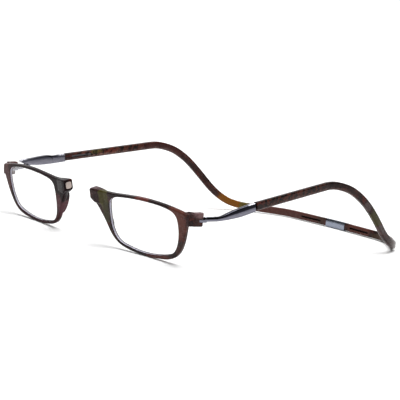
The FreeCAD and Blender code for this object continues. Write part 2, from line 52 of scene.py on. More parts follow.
# the frame's driving points, in millimetres, with Y = 0 at the bridge's front corner
S0 = np.array([78.18, 47.38, 29.36])
S1 = np.array([71.38, 101.45, 37.49])
SIDE = [(71.22, 105.58, 37.85), (71.22, 110.21, 37.59), (71.28, 114.33, 36.87), (71.28, 118.45, 35.84),
        (71.17, 122.36, 34.40), (71.07, 126.28, 32.45), (70.97, 130.30, 30.08), (70.81, 134.62, 26.99),
        (70.45, 139.26, 23.18), (69.83, 144.20, 18.75), (68.91, 149.35, 14.01), (67.77, 154.29, 9.99),
        (66.80, 158.55, 7.31), (65.65, 162.35, 5.36), (64.20, 165.65, 4.22), (62.55, 168.45, 3.50),
        (60.80, 170.90, 3.09)]
REAR = [(58.50, 173.15, 2.88), (55.30, 176.10, 2.70), (51.40, 179.50, 2.58), (47.20, 182.90, 2.50),
        (42.80, 185.70, 2.46), (38.20, 187.50, 2.45), (33.48, 188.50, 2.45)]
REAR_END = np.array([7.42, 189.80, 2.45])
FLEX = np.array([60.80, 170.90, 3.09])
BAND_W, BAND_T, REAR_W = 4.10, 2.60, 4.35
RIM_YAW, RIM_PITCH = math.radians(4.75), math.radians(14.5)
RIM_U = np.array([math.cos(RIM_YAW), math.sin(RIM_YAW), 0.0])
N0 = np.array([math.sin(RIM_YAW), -math.cos(RIM_YAW), 0.0])
RIM_N = N0 * math.cos(RIM_PITCH) - np.array([0, 0, 1.0]) * math.sin(RIM_PITCH)
RIM_W = np.array([0, 0, 1.0]) * math.cos(RIM_PITCH) + N0 * math.sin(RIM_PITCH)
RIM_O = np.array([10.74, 0.0, 28.47 * math.cos(RIM_PITCH) - 0.11])


# ------------------------------------------------------------------ mesh helpers
def new_object(name, verts_mm, faces, smooth=True):
    """Mesh object from vertices in millimetres, given with Y from the bridge's front corner."""
    me = bpy.data.meshes.new(name)
    me.from_pydata([(float(v[0]) * MM, (float(v[1]) - Y_MID) * MM, float(v[2]) * MM) for v in verts_mm],
                   [], [tuple(f) for f in faces])
    me.validate()
    me.update()
    ob = bpy.data.objects.new(name, me)
    bpy.context.scene.collection.objects.link(ob)
    if smooth:
        me.polygons.foreach_set("use_smooth", [True] * len(me.polygons))
    return ob


def points_mm(ob):
    """The mesh's vertices in millimetres, with Y from the bridge's front corner."""
    co = np.empty(len(ob.data.vertices) * 3)
    ob.data.vertices.foreach_get("co", co)
    co = co.reshape(-1, 3) / MM
    co[:, 1] += Y_MID
    return co


def bake_modifiers(ob):
    """Applies the object's modifiers to its mesh."""
    dg = bpy.context.evaluated_depsgraph_get()
    me = bpy.data.meshes.new_from_object(ob.evaluated_get(dg), preserve_all_data_layers=True, depsgraph=dg)
    old = ob.data
    ob.modifiers.clear()
    ob.data = me
    me.name = ob.name
    bpy.data.meshes.remove(old)
    return ob


def outward(ob):
    """Makes all face normals point out."""
    bm = bmesh.new()
    bm.from_mesh(ob.data)
    bmesh.ops.recalc_face_normals(bm, faces=bm.faces)
    bm.to_mesh(ob.data)
    bm.free()
    return ob


def soften(ob, angle_deg):
    """Smooth shading with creases at the sharper edges."""
    ob.data.polygons.foreach_set("use_smooth", [True] * len(ob.data.polygons))
    ob.data.set_sharp_from_angle(angle=math.radians(angle_deg))
    return ob


def remesh(ob, voxel_mm, smooth_steps=6, factor=0.5):
    """Even skin over the closed shape, softened as a moulding is."""
    m = ob.modifiers.new("skin", "REMESH")
    m.mode = "VOXEL"
    m.voxel_size = voxel_mm * MM
    m.adaptivity = 0.0
    m.use_smooth_shade = True
    if smooth_steps:
        s = ob.modifiers.new("soften", "SMOOTH")
        s.factor = factor
        s.iterations = smooth_steps
    return bake_modifiers(ob)


def cut(ob, cutters):
    """Cuts closed shapes out of the object."""
    for c in cutters:
        m = ob.modifiers.new("cut", "BOOLEAN")
        m.operation = "DIFFERENCE"
        m.solver = "EXACT"
        m.object = c
    bake_modifiers(ob)
    for c in cutters:
        me = c.data
        bpy.data.objects.remove(c)
        bpy.data.meshes.remove(me)
    return ob


def tube(name, rings, smooth=True):
    """Closed solid through rings of points, each ring with the same number of points."""
    n, m = len(rings), len(rings[0])
    verts = [p for r in rings for p in r]
    faces = []
    for i in range(n - 1):
        for j in range(m):
            k = (j + 1) % m
            faces.append((i * m + j, i * m + k, (i + 1) * m + k, (i + 1) * m + j))
    faces.append(tuple(range(m))[::-1])
    faces.append(tuple((n - 1) * m + j for j in range(m)))
    ob = new_object(name, verts, faces, smooth)
    return outward(ob)


def copy_of_node(node, name):
    """A free copy of a CAD node's mesh, to build a finished piece from."""
    me = NODES[node].data.copy()
    me.name = name
    me.materials.clear()
    ob = bpy.data.objects.new(name, me)
    bpy.context.scene.collection.objects.link(ob)
    bm = bmesh.new()
    bm.from_mesh(me)
    bmesh.ops.remove_doubles(bm, verts=bm.verts, dist=1e-6)
    bm.to_mesh(me)
    bm.free()
    return ob


def mirrored(ob, name):
    """The same piece on the other side of the symmetry plane."""
    me = ob.data.copy()
    me.name = name
    bm = bmesh.new()
    bm.from_mesh(me)
    for v in bm.verts:
        v.co.x = -v.co.x
    bmesh.ops.reverse_faces(bm, faces=bm.faces)
    bm.to_mesh(me)
    bm.free()
    o2 = bpy.data.objects.new(name, me)
    bpy.context.scene.collection.objects.link(o2)
    return o2


def store(ob, name, values):
    """Keeps a vector per vertex on the mesh, for the materials to read."""
    a = ob.data.attributes.get(name) or ob.data.attributes.new(name, "FLOAT_VECTOR", "POINT")
    a.data.foreach_set("vector", np.asarray(values, np.float32).ravel())


def cubic(points, step):
    """Smooth curve through points (natural cubic on chord length), sampled about every step."""
    p = np.array(points, float)
    t = np.concatenate([[0], np.cumsum(np.linalg.norm(np.diff(p, axis=0), axis=1))])
    n, h = len(p), np.diff(t)
    a = np.zeros((n, n))
    r = np.zeros((n, 3))
    a[0, 0] = a[-1, -1] = 1
    for i in range(1, n - 1):
        a[i, i - 1], a[i, i], a[i, i + 1] = h[i - 1], 2 * (h[i - 1] + h[i]), h[i]
        r[i] = 6 * ((p[i + 1] - p[i]) / h[i] - (p[i] - p[i - 1]) / h[i - 1])
    m = np.linalg.solve(a, r)
    out = []
    for i in range(n - 1):
        k = max(1, round(h[i] / step))
        for j in range(k + (i == n - 2)):
            x = h[i] * j / k
            out.append(p[i] + x * ((p[i + 1] - p[i]) / h[i] - h[i] * (2 * m[i] + m[i + 1]) / 6)
                       + x * x * m[i] / 2 + x ** 3 * (m[i + 1] - m[i]) / (6 * h[i]))
    return np.array(out)


def frames(path):
    """Tangent, flat direction and height direction at each point of the path."""
    t = np.gradient(path, axis=0)
    t /= np.linalg.norm(t, axis=1)[:, None]
    n = np.cross(t, (0, 0, 1.0))
    n /= np.linalg.norm(n, axis=1)[:, None]
    return t, n, np.cross(n, t)


def round_rect(thick, wide, radius, steps=5):
    """Rounded rectangle as (flat, height) points."""
    a, w = thick / 2 - radius, wide / 2 - radius
    pts = []
    for cx, cy, a0 in ((a, w, 0), (-a, w, 90), (-a, -w, 180), (a, -w, 270)):
        for k in range(steps + 1):
            q = math.radians(a0 + 90 * k / steps)
            pts.append((cx + radius * math.cos(q), cy + radius * math.sin(q)))
    return pts


# ------------------------------------------------------------------ rims
rim = remesh(copy_of_node("left_rim", "left_rim_moulding"), 0.16, 4)
rim_r = mirrored(rim, "right_rim_moulding")
for ob, sg, side in ((rim, 1.0, "left"), (rim_r, -1.0, "right")):
    d = points_mm(ob) * np.array([sg, 1, 1]) - RIM_O
    store(ob, "pat", np.stack([d @ RIM_U, d @ RIM_W, d @ RIM_N], axis=1))
    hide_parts(side + "_rim")
    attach(ob, side + "_front")

# ------------------------------------------------------------------ head band, one moulding a side
straight = [S0 + (S1 - S0) * k / 90 for k in range(90)]
bend = cubic([tuple(S1 - (S1 - S0) * 0.08), tuple(S1)] + SIDE + REAR
             + [tuple(np.array(REAR[-1]) + (REAR_END - np.array(REAR[-1])) * 0.15)], 0.6)
start_at = np.argmin(np.linalg.norm(bend - S1, axis=1))
tail0 = np.array(REAR[-1])
stop_at = np.argmin(np.linalg.norm(bend - tail0, axis=1))
tail = [tail0 + (REAR_END - tail0) * k / 44 for k in range(1, 45)]
path = np.array(straight + list(bend[start_at:stop_at + 1]) + tail)
path[-1] = REAR_END - (REAR_END - tail0) / np.linalg.norm(REAR_END - tail0) * 0.05
arc = np.concatenate([[0], np.cumsum(np.linalg.norm(np.diff(path, axis=0), axis=1))])
T, FN, FB = frames(path)
for i in range(91):
    d = (S1 - S0) / np.linalg.norm(S1 - S0)
    n = np.cross(d, (0, 0, 1.0))
    n /= np.linalg.norm(n)
    if i < 88:
        T[i], FN[i], FB[i] = d, n, np.cross(n, d)
outline = round_rect(BAND_T, BAND_W, 0.78, 6)
end_ring = round_rect(BAND_T - 0.30, BAND_W - 0.30, 0.65, 6)


def ring_at(i, shape, shift=0.0):
    grow = 1 + (REAR_W / BAND_W - 1) * min(1, max(0, (arc[i] - 137.0) / 33.0))
    return [path[i] + T[i] * shift + FN[i] * a + FB[i] * b * grow for a, b in shape]


rings = [ring_at(0, end_ring)] + [ring_at(0, outline, 0.16)] + [ring_at(i, outline) for i in range(1, len(path) - 1)]
rings += [ring_at(len(path) - 1, outline, -0.16), ring_at(len(path) - 1, end_ring)]
band = tube("left_head_band", rings)


def slab(name, origin, along, height, out, s0, s1, high, d0, d1, rounded=False):
    """Box along the band from s0 to s1, of that height, from depth d0 to d1; its ends may be round."""
    pts = []
    if rounded:
        r = high / 2
        for c, a0 in ((s1 - r, -90), (s0 + r, 90)):
            for k in range(9):
                q = math.radians(a0 + 180 * k / 8)
                pts.append((c + r * math.cos(q), r * math.sin(q)))
    else:
        pts = [(s0, -high / 2), (s1, -high / 2), (s1, high / 2), (s0, high / 2)]
    return tube(name, [[origin + along * s + height * h + out * dd for s, h in pts] for dd in (d0, d1)], False)


d_t = (S1 - S0) / np.linalg.norm(S1 - S0)
n_t = np.cross(d_t, (0, 0, 1.0)); n_t /= np.linalg.norm(n_t)
b_t = np.cross(n_t, d_t)
in_t = -n_t if n_t[0] > 0 else n_t
d_r = tail0 - REAR_END; d_r /= np.linalg.norm(d_r)
n_r = np.cross(d_r, (0, 0, 1.0)); n_r /= np.linalg.norm(n_r)
b_r = np.cross(n_r, d_r)
in_r = n_r if n_r[1] < 0 else -n_r
cut(band, [slab("c1", S0, d_t, b_t, in_t, -1, 37.3, 2.5, -0.45, 0.45),
           slab("c2", S0, d_t, b_t, in_t, 3.85, 16.25, 1.16, 0.0, 2.0, True),
           slab("c3", REAR_END, d_r, b_r, in_r, -1, 25.8, 2.5, -0.45, 0.45),
           slab("c4", REAR_END, d_r, b_r, in_r, 4.15, 19.65, 1.02, 0.0, 2.0, True)])
soften(band, 34)
band_r = mirrored(band, "right_head_band")
for ob, sg, side in ((band, 1.0, "left"), (band_r, -1.0, "right")):
    p = points_mm(ob) * np.array([sg, 1, 1])
    near = np.empty(len(p), int)
    for a in range(0, len(p), 4000):
        near[a:a + 4000] = np.argmin(((p[a:a + 4000, None, :] - path[None]) ** 2).sum(2), axis=1)
    d = p - path[near]
    store(ob, "pat", np.stack([arc[near] + (d * T[near]).sum(1), (d * FB[near]).sum(1), (d * FN[near]).sum(1)], 1))
    t_flex = np.array([0.5812, -0.8137, 0.0])
    a, b = FLEX - t_flex * 9.0, FLEX + t_flex * 9.0
    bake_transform(ob)
    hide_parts(side + "_side_band", side + "_rear_band")

# ------------------------------------------------------------------ metal arms
# side outlines of the arms, (y, lower z, upper z)
ARM_LINE = {"left": [(13.0, 22.48, 24.92), (22.66, 22.50, 24.92), (24.82, 22.70, 24.95), (27.81, 22.97, 25.70),
                     (31.41, 23.40, 27.05), (35.12, 23.90, 28.20), (39.45, 24.75, 29.40), (43.0, 25.65, 30.30),
                     (47.2, 26.75, 31.10)],
            "right": [(13.0, 22.48, 24.92), (17.6, 22.9, 27.05), (19.3, 23.9, 27.72), (21.9, 24.9, 28.20),
                      (24.5, 24.98, 28.62), (27.0, 24.92, 29.10), (29.6, 24.94, 29.60), (32.9, 25.15, 30.12),
                      (36.2, 25.5, 30.40), (38.6, 25.75, 30.20), (40.6, 26.03, 30.35), (42.9, 26.33, 30.75),
                      (47.2, 26.92, 31.21)]}
for side, sg in SIDES:
    arm = remesh(copy_of_node(side + "_temple_arm", side + "_arm_casting"), 0.12, 10)
    q = points_mm(arm)
    line_y, line_lo, line_hi = np.array(ARM_LINE[side]).T
    lo = np.interp(q[:, 1], line_y, line_lo)
    hi = np.interp(q[:, 1], line_y, line_hi)
    # height across the arm between these outlines, which places the painted reflection bands of the arm material
    store(arm, "pat", np.stack([(q[:, 2] - lo) / (hi - lo), q[:, 1], q[:, 0] * sg], 1))
    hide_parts(side + "_temple_arm")
    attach(arm, side + "_arm")

# ------------------------------------------------------------------ lenses
for side, sg in SIDES:
    glass = copy_of_node(side + "_lens", side + "_lens_clear")
    q = (points_mm(glass) * np.array([sg, 1, 1]) - RIM_O)
    q = np.stack([q @ RIM_U, q @ RIM_W, q @ RIM_N], 1)
    mid = (q.min(0) + q.max(0)) / 2
    size = q.max(0) - q.min(0)
    q = mid + (q - mid) * (1 - np.array([0.36, 0.36, 0.22]) / size)
    q = (RIM_O + q[:, :1] * RIM_U + q[:, 1:2] * RIM_W + q[:, 2:3] * RIM_N) * np.array([sg, 1, 1])
    q[:, 1] -= Y_MID
    glass.data.vertices.foreach_set("co", (q * MM).ravel())
    glass.data.update()
    normals = np.empty(len(glass.data.polygons) * 3)
    glass.data.polygons.foreach_get("normal", normals)
    flat = np.abs(normals.reshape(-1, 3) @ (RIM_N * np.array([sg, 1, 1]))) > 0.9
    glass.data.polygons.foreach_set("material_index", np.where(flat, 0, 1).astype(np.int32))
    glass.data.polygons.foreach_set("use_smooth", ~flat)
    glass.data.set_sharp_from_angle(angle=math.radians(40))
    glass.data.polygons.foreach_set("use_smooth", ~flat)
    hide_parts(side + "_lens")
    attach(glass, side + "_front")

# ------------------------------------------------------------------ rear connector
n_out = np.array([-d_r[1], d_r[0], 0.0])
if n_out[1] < 0:
    n_out = -n_out
half = [(7.42, 189.80), (5.0, 189.91), (2.5, 189.98), (0.0, 190.0)]
line = [(x, y) for x, y in half] + [(-x, y) for x, y in half[::-1][1:]]
spine = cubic([(x, y, 2.35) for x, y in line], 0.5)
ct, cn, cb = frames(spine)
cn = np.where(cn[:, 1:2] < 0, -cn, cn)
shape = [(-1.30, 0.30), (-1.30, 3.72), (-1.22, 3.98), (-0.72, 4.60), (-0.50, 4.70), (0.50, 4.70), (0.72, 4.60), (1.22, 3.98),
         (1.30, 3.72), (1.30, 0.30), (1.16, 0.06), (1.00, 0.0), (-1.00, 0.0), (-1.16, 0.06)]
crings = []
for i in range(len(spine)):
    crings.append([np.array([spine[i][0], spine[i][1], 0.0]) + cn[i] * a + np.array([0, 0, h]) for a, h in shape])
conn = tube("rear_connector_piece", crings)
soften(conn, 40)
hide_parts("rear_connector")
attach(conn, "rear_connector")


# ------------------------------------------------------------------ materials
def srgb(r, g, b):
    """Linear colour from 0-255 display values."""
    return tuple(((c / 255) / 12.92 if c <= 10 else ((c / 255 + 0.055) / 1.055) ** 2.4) for c in (r, g, b)) + (1.0,)


class Nodes:
    """Short hand for building one material's node tree."""

    def __init__(self, name):
        self.mat = bpy.data.materials.new(name)
        self.mat.use_nodes = True
        self.tree = self.mat.node_tree
        self.bsdf = self.tree.nodes["Principled BSDF"]

    def add(self, kind, **props):
        n = self.tree.nodes.new(kind)
        for k, v in props.items():
            setattr(n, k, v)
        return n

    def put(self, socket, value):
        if isinstance(value, bpy.types.NodeSocket):
            self.tree.links.new(value, socket)
        else:
            socket.default_value = value

    def attribute(self, name):
        n = self.add("ShaderNodeAttribute", attribute_name=name)
        return n.outputs["Vector"]

    def split(self, vector):
        n = self.add("ShaderNodeSeparateXYZ")
        self.put(n.inputs[0], vector)
        return n.outputs

    def math(self, op, a, b=0.0, clamp=False):
        n = self.add("ShaderNodeMath", operation=op, use_clamp=clamp)
        self.put(n.inputs[0], a)
        self.put(n.inputs[1], b)
        return n.outputs[0]

    def vmath(self, op, a, b):
        n = self.add("ShaderNodeVectorMath", operation=op)
        self.put(n.inputs[0], a)
        self.put(n.inputs[1], b)
        return n.outputs["Value"] if op in ("LENGTH", "DISTANCE", "DOT_PRODUCT") else n.outputs[0]

    def noise(self, vector, scale, detail=3.0, rough=0.55, distortion=0.0, colour=False):
        n = self.add("ShaderNodeTexNoise")
        self.put(n.inputs["Vector"], vector)
        n.inputs["Scale"].default_value = scale
        n.inputs["Detail"].default_value = detail
        n.inputs["Roughness"].default_value = rough
        n.inputs["Distortion"].default_value = distortion
        return n.outputs["Color" if colour else 0]

    def ramp(self, value, stops, smooth=True):
        n = self.add("ShaderNodeValToRGB")
        cr = n.color_ramp
        cr.interpolation = "EASE" if smooth else "LINEAR"
        while len(cr.elements) < len(stops):
            cr.elements.new(0.5)
        for e, (p, c) in zip(cr.elements, stops):
            e.position = p
            e.color = c if isinstance(c, tuple) else (c, c, c, 1.0)
        self.put(n.inputs[0], value)
        return n.outputs[0]

    def remap(self, value, a, b, c=0.0, d=1.0):
        n = self.add("ShaderNodeMapRange", interpolation_type="SMOOTHSTEP")
        for k, v in enumerate((value, a, b, c, d)):
            self.put(n.inputs[k], v)
        return n.outputs[0]

    def mix(self, factor, a, b, blend="MIX"):
        n = self.add("ShaderNodeMix", data_type="RGBA", blend_type=blend)
        self.put(n.inputs[0], factor)
        self.put(n.inputs[6], a)
        self.put(n.inputs[7], b)
        return n.outputs[2]

    def bump(self, height, strength, distance_mm):
        n = self.add("ShaderNodeBump")
        n.inputs["Strength"].default_value = strength
        n.inputs["Distance"].default_value = distance_mm * MM
        self.put(n.inputs["Height"], height)
        self.put(self.bsdf.inputs["Normal"], n.outputs[0])


def tortoise(name, seed, spots, band, tone=0.72, tint=(0.90, 0.88), gloss=0.17):
    """Mottled dark plastic. spots are (place, reach, colour, strength) in the piece's own coordinates, mm."""
    m = Nodes(name)
    pat = m.vmath("ADD", m.attribute("pat"), (seed * 17.3, seed * 5.1, seed * 3.7))
    raw = m.attribute("pat")
    warp = m.vmath("SUBTRACT", m.noise(pat, 0.32, 2.5, 0.6, colour=True), (0.5, 0.5, 0.5))
    warp = m.vmath("SCALE", warp, (0, 0, 0))
    warp.node.inputs["Scale"].default_value = 3.2
    soft = m.vmath("ADD", pat, warp)
    # clouds of dark brown and near black, with reddish and greyish drifts
    cloud = m.noise(m.vmath("MULTIPLY", soft, (0.62, 1.0, 1.0)), 0.21, 4.0, 0.6)
    col = m.ramp(cloud, [(0.30, srgb(15, 9, 11)), (0.45, srgb(38, 24, 25)), (0.58, srgb(68, 42, 40)),
                         (0.72, srgb(92, 64, 58))])
    drift = m.noise(m.vmath("MULTIPLY", soft, (0.35, 1.3, 1.3)), 0.30, 3.0, 0.6)
    col = m.mix(m.remap(drift, 0.50, 0.66, 0.0, 0.85), col, srgb(100, 44, 34))
    haze = m.noise(m.vmath("ADD", soft, (41.0, 7.0, 3.0)), 0.26, 2.0, 0.5)
    col = m.mix(m.remap(haze, 0.56, 0.72, 0.0, 0.45), col, srgb(88, 68, 71))
    # drawn-out fibres along the piece
    fibre = m.noise(m.vmath("MULTIPLY", soft, (0.30, 2.6, 2.6)), 0.55, 5.0, 0.62)
    col = m.mix(m.remap(fibre, 0.36, 0.58, 0.85, 0.0), col, srgb(15, 9, 11))
    grain = m.noise(m.vmath("MULTIPLY", soft, (0.7, 1.6, 1.6)), 1.5, 4.0, 0.65)
    col = m.mix(m.remap(grain, 0.50, 0.72, 0.0, 0.42), col, srgb(112, 84, 76))
    # coloured patches with ragged edges; some of the listed spots are painted highlights
    ragged = m.vmath("ADD", raw, warp)
    for place, reach, colour, strength in spots:
        d = m.vmath("DIVIDE", m.vmath("SUBTRACT", ragged, place), reach)
        dist = m.vmath("LENGTH", d, (0, 0, 0))
        dist = m.math("ADD", dist, m.math("MULTIPLY", m.math("SUBTRACT", fibre, 0.5), 0.55))
        mask = m.remap(dist, 1.12, 0.72, 0.0, strength)
        shade = m.mix(m.remap(grain, 0.3, 0.7, 0.0, 0.45), colour, (colour[0] * 0.45, colour[1] * 0.45, colour[2] * 0.42, 1))
        col = m.mix(mask, col, shade)
    if band:
        # wood-like slanting flames on the straight run, in front of the ear
        s, h, w = m.split(ragged)
        slant = m.math("ADD", m.math("MULTIPLY", s, 1.15), m.math("MULTIPLY", h, -0.9))
        slant = m.math("ADD", slant, m.math("MULTIPLY", m.noise(pat, 0.28, 4.0, 0.65), 22.0))
        flame = m.math("SINE", slant, 0.0)
        place = m.math("MULTIPLY", m.remap(s, 2.0, 7.0), m.remap(s, 58.0, 46.0))
        col = m.mix(m.math("MULTIPLY", m.remap(flame, -0.1, 0.7, 0.0, 0.92), place), col, srgb(17, 10, 9))
        col = m.mix(m.math("MULTIPLY", m.remap(flame, -0.2, -0.95, 0.0, 0.70), place), col, srgb(96, 58, 46))
        # painted highlight: the lower edge of the straight run and the start of the bend is lightened to pale
        # mauve-grey
        col = m.mix(m.math("MULTIPLY", m.remap(h, -0.4, -1.5, 0.0, 0.7), m.remap(s, 88.0, 60.0)), col, srgb(112, 98, 98))
    col = m.mix(1.0, col, (tone, tone * tint[0], tone * tint[1], 1.0), "MULTIPLY")
    m.put(m.bsdf.inputs["Base Color"], col)
    smear = m.noise(pat, 0.45, 3.0, 0.6)
    m.put(m.bsdf.inputs["Roughness"], m.remap(smear, 0.3, 0.7, 0.20, 0.32))
    m.bsdf.inputs["IOR"].default_value = 1.50
    m.bsdf.inputs["Specular IOR Level"].default_value = gloss
    fine = m.noise(pat, 3.4, 3.0, 0.6)
    m.bump(m.math("ADD", m.math("MULTIPLY", fine, 0.5), m.math("MULTIPLY", smear, 0.9)), 0.22, 0.05)
    return m.mat


OLIVE, AMBER, RUST = srgb(86, 86, 44), srgb(142, 92, 26), srgb(112, 66, 54)
rim_left = tortoise("tortoise_left_rim", 1, [
    ((8.6, -3.5, 0.0), (3.2, 7.5, 9.0), OLIVE, 0.95),
    ((9.8, -11.0, 0.0), (2.4, 6.0, 9.0), srgb(66, 66, 34), 0.85),
    ((36.0, 0.2, 0.0), (5.0, 2.5, 6.0), srgb(128, 62, 54), 0.75),
    ((59.5, -6.0, 0.0), (6.2, 10.0, 4.5), RUST, 0.85),
    # painted highlight: pale mauve over the upper part of the hinge ear
    ((67.2, -2.6, -8.6), (3.4, 3.0, 5.5), srgb(150, 124, 128), 0.75),
    ((24.0, -26.5, 0.0), (13.0, 4.0, 9.0), srgb(34, 22, 27), 0.85),
    ((44.0, -27.0, 0.0), (9.0, 3.4, 9.0), srgb(112, 66, 60), 0.7),
    ((22.0, -0.6, 0.0), (10.0, 2.6, 9.0), srgb(30, 17, 17), 0.85),
    # painted highlight: a thin pale mauve strip along the top edge of the bridge block
    ((1.0, 0.2, -2.0), (7.0, 0.9, 3.4), srgb(128, 108, 116), 0.6),
    ((62.0, -22.0, 0.0), (5.5, 6.0, 9.0), srgb(84, 62, 56), 0.6),
    ((48.5, -0.6, 0.0), (6.0, 2.2, 9.0), srgb(26, 15, 17), 0.8)], False, 0.70, (0.87, 0.84), 0.15)
rim_right = tortoise("tortoise_right_rim", 2, [
    ((63.5, -9.0, 0.0), (4.2, 15.0, 9.0), srgb(112, 88, 84), 0.75),
    # painted highlight: pale mauve over the upper part of the hinge ear
    ((67.2, -2.6, -8.6), (3.4, 3.0, 5.5), srgb(124, 96, 92), 0.6),
    ((30.0, -1.0, 0.0), (30.0, 3.2, 8.0), srgb(36, 18, 24), 0.88),
    ((5.5, -5.0, 0.0), (9.5, 6.5, 9.0), srgb(24, 13, 17), 0.9),
    ((34.0, -27.0, 0.0), (30.0, 4.2, 9.0), srgb(66, 36, 42), 0.75),
    ((9.5, -15.0, -3.0), (3.6, 8.0, 5.2), srgb(120, 84, 90), 0.75)], False, 0.62, (0.80, 0.86), 0.05)
band_left = tortoise("tortoise_left_band", 3, [
    ((90.0, -0.4, 0.0), (3.2, 2.4, 4.0), srgb(112, 104, 108), 0.7),
    ((101.0, 0.0, 0.0), (6.6, 5.0, 5.0), srgb(78, 80, 40), 0.9),
    ((110.0, -1.0, 0.0), (4.0, 3.0, 4.0), srgb(104, 96, 98), 0.6),
    ((133.0, 0.0, 0.0), (12.0, 6.0, 6.0), srgb(84, 68, 70), 0.6),
    ((168.0, -0.8, 0.0), (6.0, 2.4, 5.0), srgb(92, 72, 54), 0.75),
    ((184.0, 0.0, 0.0), (10.0, 5.0, 5.0), srgb(124, 80, 72), 0.8)], True, 0.60, (0.84, 0.77), 0.11)
band_right = tortoise("tortoise_right_band", 4, [
    ((127.5, 0.0, 0.0), (9.5, 6.0, 6.0), srgb(150, 98, 22), 0.96),
    ((137.0, 0.0, 0.0), (3.4, 6.0, 6.0), srgb(112, 106, 42), 0.85),
    # painted highlight: a pale pinkish strip along the lower edge of the straight run
    ((28.0, -1.2, 0.0), (14.0, 1.1, 6.0), srgb(190, 150, 132), 0.75),
    ((20.0, 0.9, 0.0), (4.0, 1.3, 6.0), srgb(116, 112, 56), 0.85),
    ((13.5, 0.7, 0.0), (3.4, 1.0, 6.0), srgb(140, 92, 84), 0.8),
    ((29.0, 0.4, 0.0), (5.0, 1.4, 6.0), srgb(128, 56, 46), 0.8),
    ((60.0, 0.0, 0.0), (26.0, 5.0, 6.0), srgb(84, 40, 34), 0.5),
    ((168.0, 0.0, 0.0), (30.0, 5.0, 6.0), srgb(118, 80, 76), 0.75),
    ((192.0, 0.0, 0.0), (3.0, 5.0, 6.0), srgb(80, 66, 58), 0.7)], True, 0.70, (0.87, 0.82), 0.12)
rim.data.materials.append(rim_left)
rim_r.data.materials.append(rim_right)
band.data.materials.clear()
band_r.data.materials.clear()
band.data.materials.append(band_left)
band_r.data.materials.append(band_right)


def metal(name, colour, rough, streak, brushed=(1.0, 0.12, 1.0), scale=2400.0):
    """Satin metal with fine brushing and small cloudy changes of tone."""
    m = Nodes(name)
    co = m.add("ShaderNodeTexCoord").outputs["Object"]
    line = m.noise(m.vmath("MULTIPLY", co, brushed), scale, 3.0, 0.6)
    cloud = m.noise(co, 260.0, 2.0, 0.5)
    dark = (colour[0] * 0.72, colour[1] * 0.72, colour[2] * 0.74, 1.0)
    col = m.mix(m.remap(line, 0.3, 0.7, 0.0, streak), colour, dark)
    col = m.mix(m.remap(cloud, 0.4, 0.7, 0.0, 0.25), col, dark)
    m.put(m.bsdf.inputs["Base Color"], col)
    m.bsdf.inputs["Metallic"].default_value = 1.0
    m.put(m.bsdf.inputs["Roughness"], m.remap(line, 0.3, 0.7, rough * 0.85, rough * 1.2))
    m.bump(line, 0.12, 0.02)
    return m.mat


def arm_metal_with_painted_reflections(name, bands):
    """Satin gunmetal with painted reflections: a painted dark reflection band under its upper edge, lighter painted
    reflection on the lower face and a painted highlight along the top of the rod and the cuff end; bands are
    (height, colour) stops.
    """
    m = Nodes(name)
    co = m.add("ShaderNodeTexCoord").outputs["Object"]
    line = m.noise(m.vmath("MULTIPLY", co, (1.0, 0.12, 1.0)), 2400.0, 3.0, 0.6)
    cloud = m.noise(co, 260.0, 2.0, 0.5)
    high, along, out = m.split(m.attribute("pat"))
    high = m.math("ADD", high, m.math("MULTIPLY", m.math("SUBTRACT", cloud, 0.5), 0.10))
    # painted reflection: the colour follows the height across the arm, dark under the upper edge and lighter below,
    # standing in for the dark room and bright floor mirrored in the metal
    col = m.ramp(high, bands)
    # painted highlight: a pale strip along the top of the rod at the front and of the cuff at the back end
    painted_highlight_mask = m.math("MULTIPLY", m.remap(high, 0.84, 0.93), m.math("MAXIMUM", m.remap(along, 22.5, 20.5), m.remap(along, 41.5, 43.5)))
    col = m.mix(painted_highlight_mask, col, PAINTED_HIGHLIGHT)
    col = m.mix(m.remap(line, 0.3, 0.7, 0.0, 0.22), col, (0.02, 0.02, 0.024, 1.0))
    m.put(m.bsdf.inputs["Base Color"], col)
    m.bsdf.inputs["Metallic"].default_value = 1.0
    m.put(m.bsdf.inputs["Roughness"], m.remap(line, 0.3, 0.7, 0.15, 0.24))
    m.bump(line, 0.10, 0.02)
    return m.mat


# colours of the arms' painted reflections: dark reflection band, plain steel, painted highlight
PAINTED_DARK_REFLECTION, STEEL, PAINTED_HIGHLIGHT = srgb(20, 20, 27), srgb(122, 121, 133), srgb(214, 214, 224)
# each arm gets its own ramp of painted reflection by height
arm_left = arm_metal_with_painted_reflections("arm_gunmetal_left", [(0.0, srgb(104, 103, 114)), (0.28, STEEL), (0.46, srgb(108, 107, 118)), (0.60, PAINTED_DARK_REFLECTION),
                                            (0.92, PAINTED_DARK_REFLECTION), (1.0, srgb(84, 84, 94))])
arm_right = arm_metal_with_painted_reflections("arm_gunmetal_right", [(0.0, srgb(128, 127, 138)), (0.25, srgb(122, 121, 131)), (0.55, srgb(110, 109, 118)), (0.74, srgb(66, 66, 76)),
                                              (0.92, PAINTED_DARK_REFLECTION), (1.0, srgb(84, 84, 94))])
conn_metal = metal("connector_satin", srgb(138, 144, 158), 0.24, 0.3, (0.12, 1.0, 1.0))
magnet_metal = metal("magnet_plate", srgb(184, 170, 162), 0.34, 0.3, (1.0, 1.0, 0.2), 1800.0)
screw_metal = metal("screw_turned", srgb(150, 150, 152), 0.26, 0.4, (1.0, 1.0, 0.1))
strip_metal = metal("strip_rolled", srgb(92, 90, 92), 0.34, 0.4, (0.3, 0.1, 1.0))
strip_dark = metal("strip_blackened", srgb(18, 8, 8), 0.48, 0.4, (0.1, 1.0, 1.0))


def dress(node, mat):
    me = NODES[node].data
    me.materials.clear()
    me.materials.append(mat)
    NODES[node].data.polygons.foreach_set("material_index", [0] * len(me.polygons))


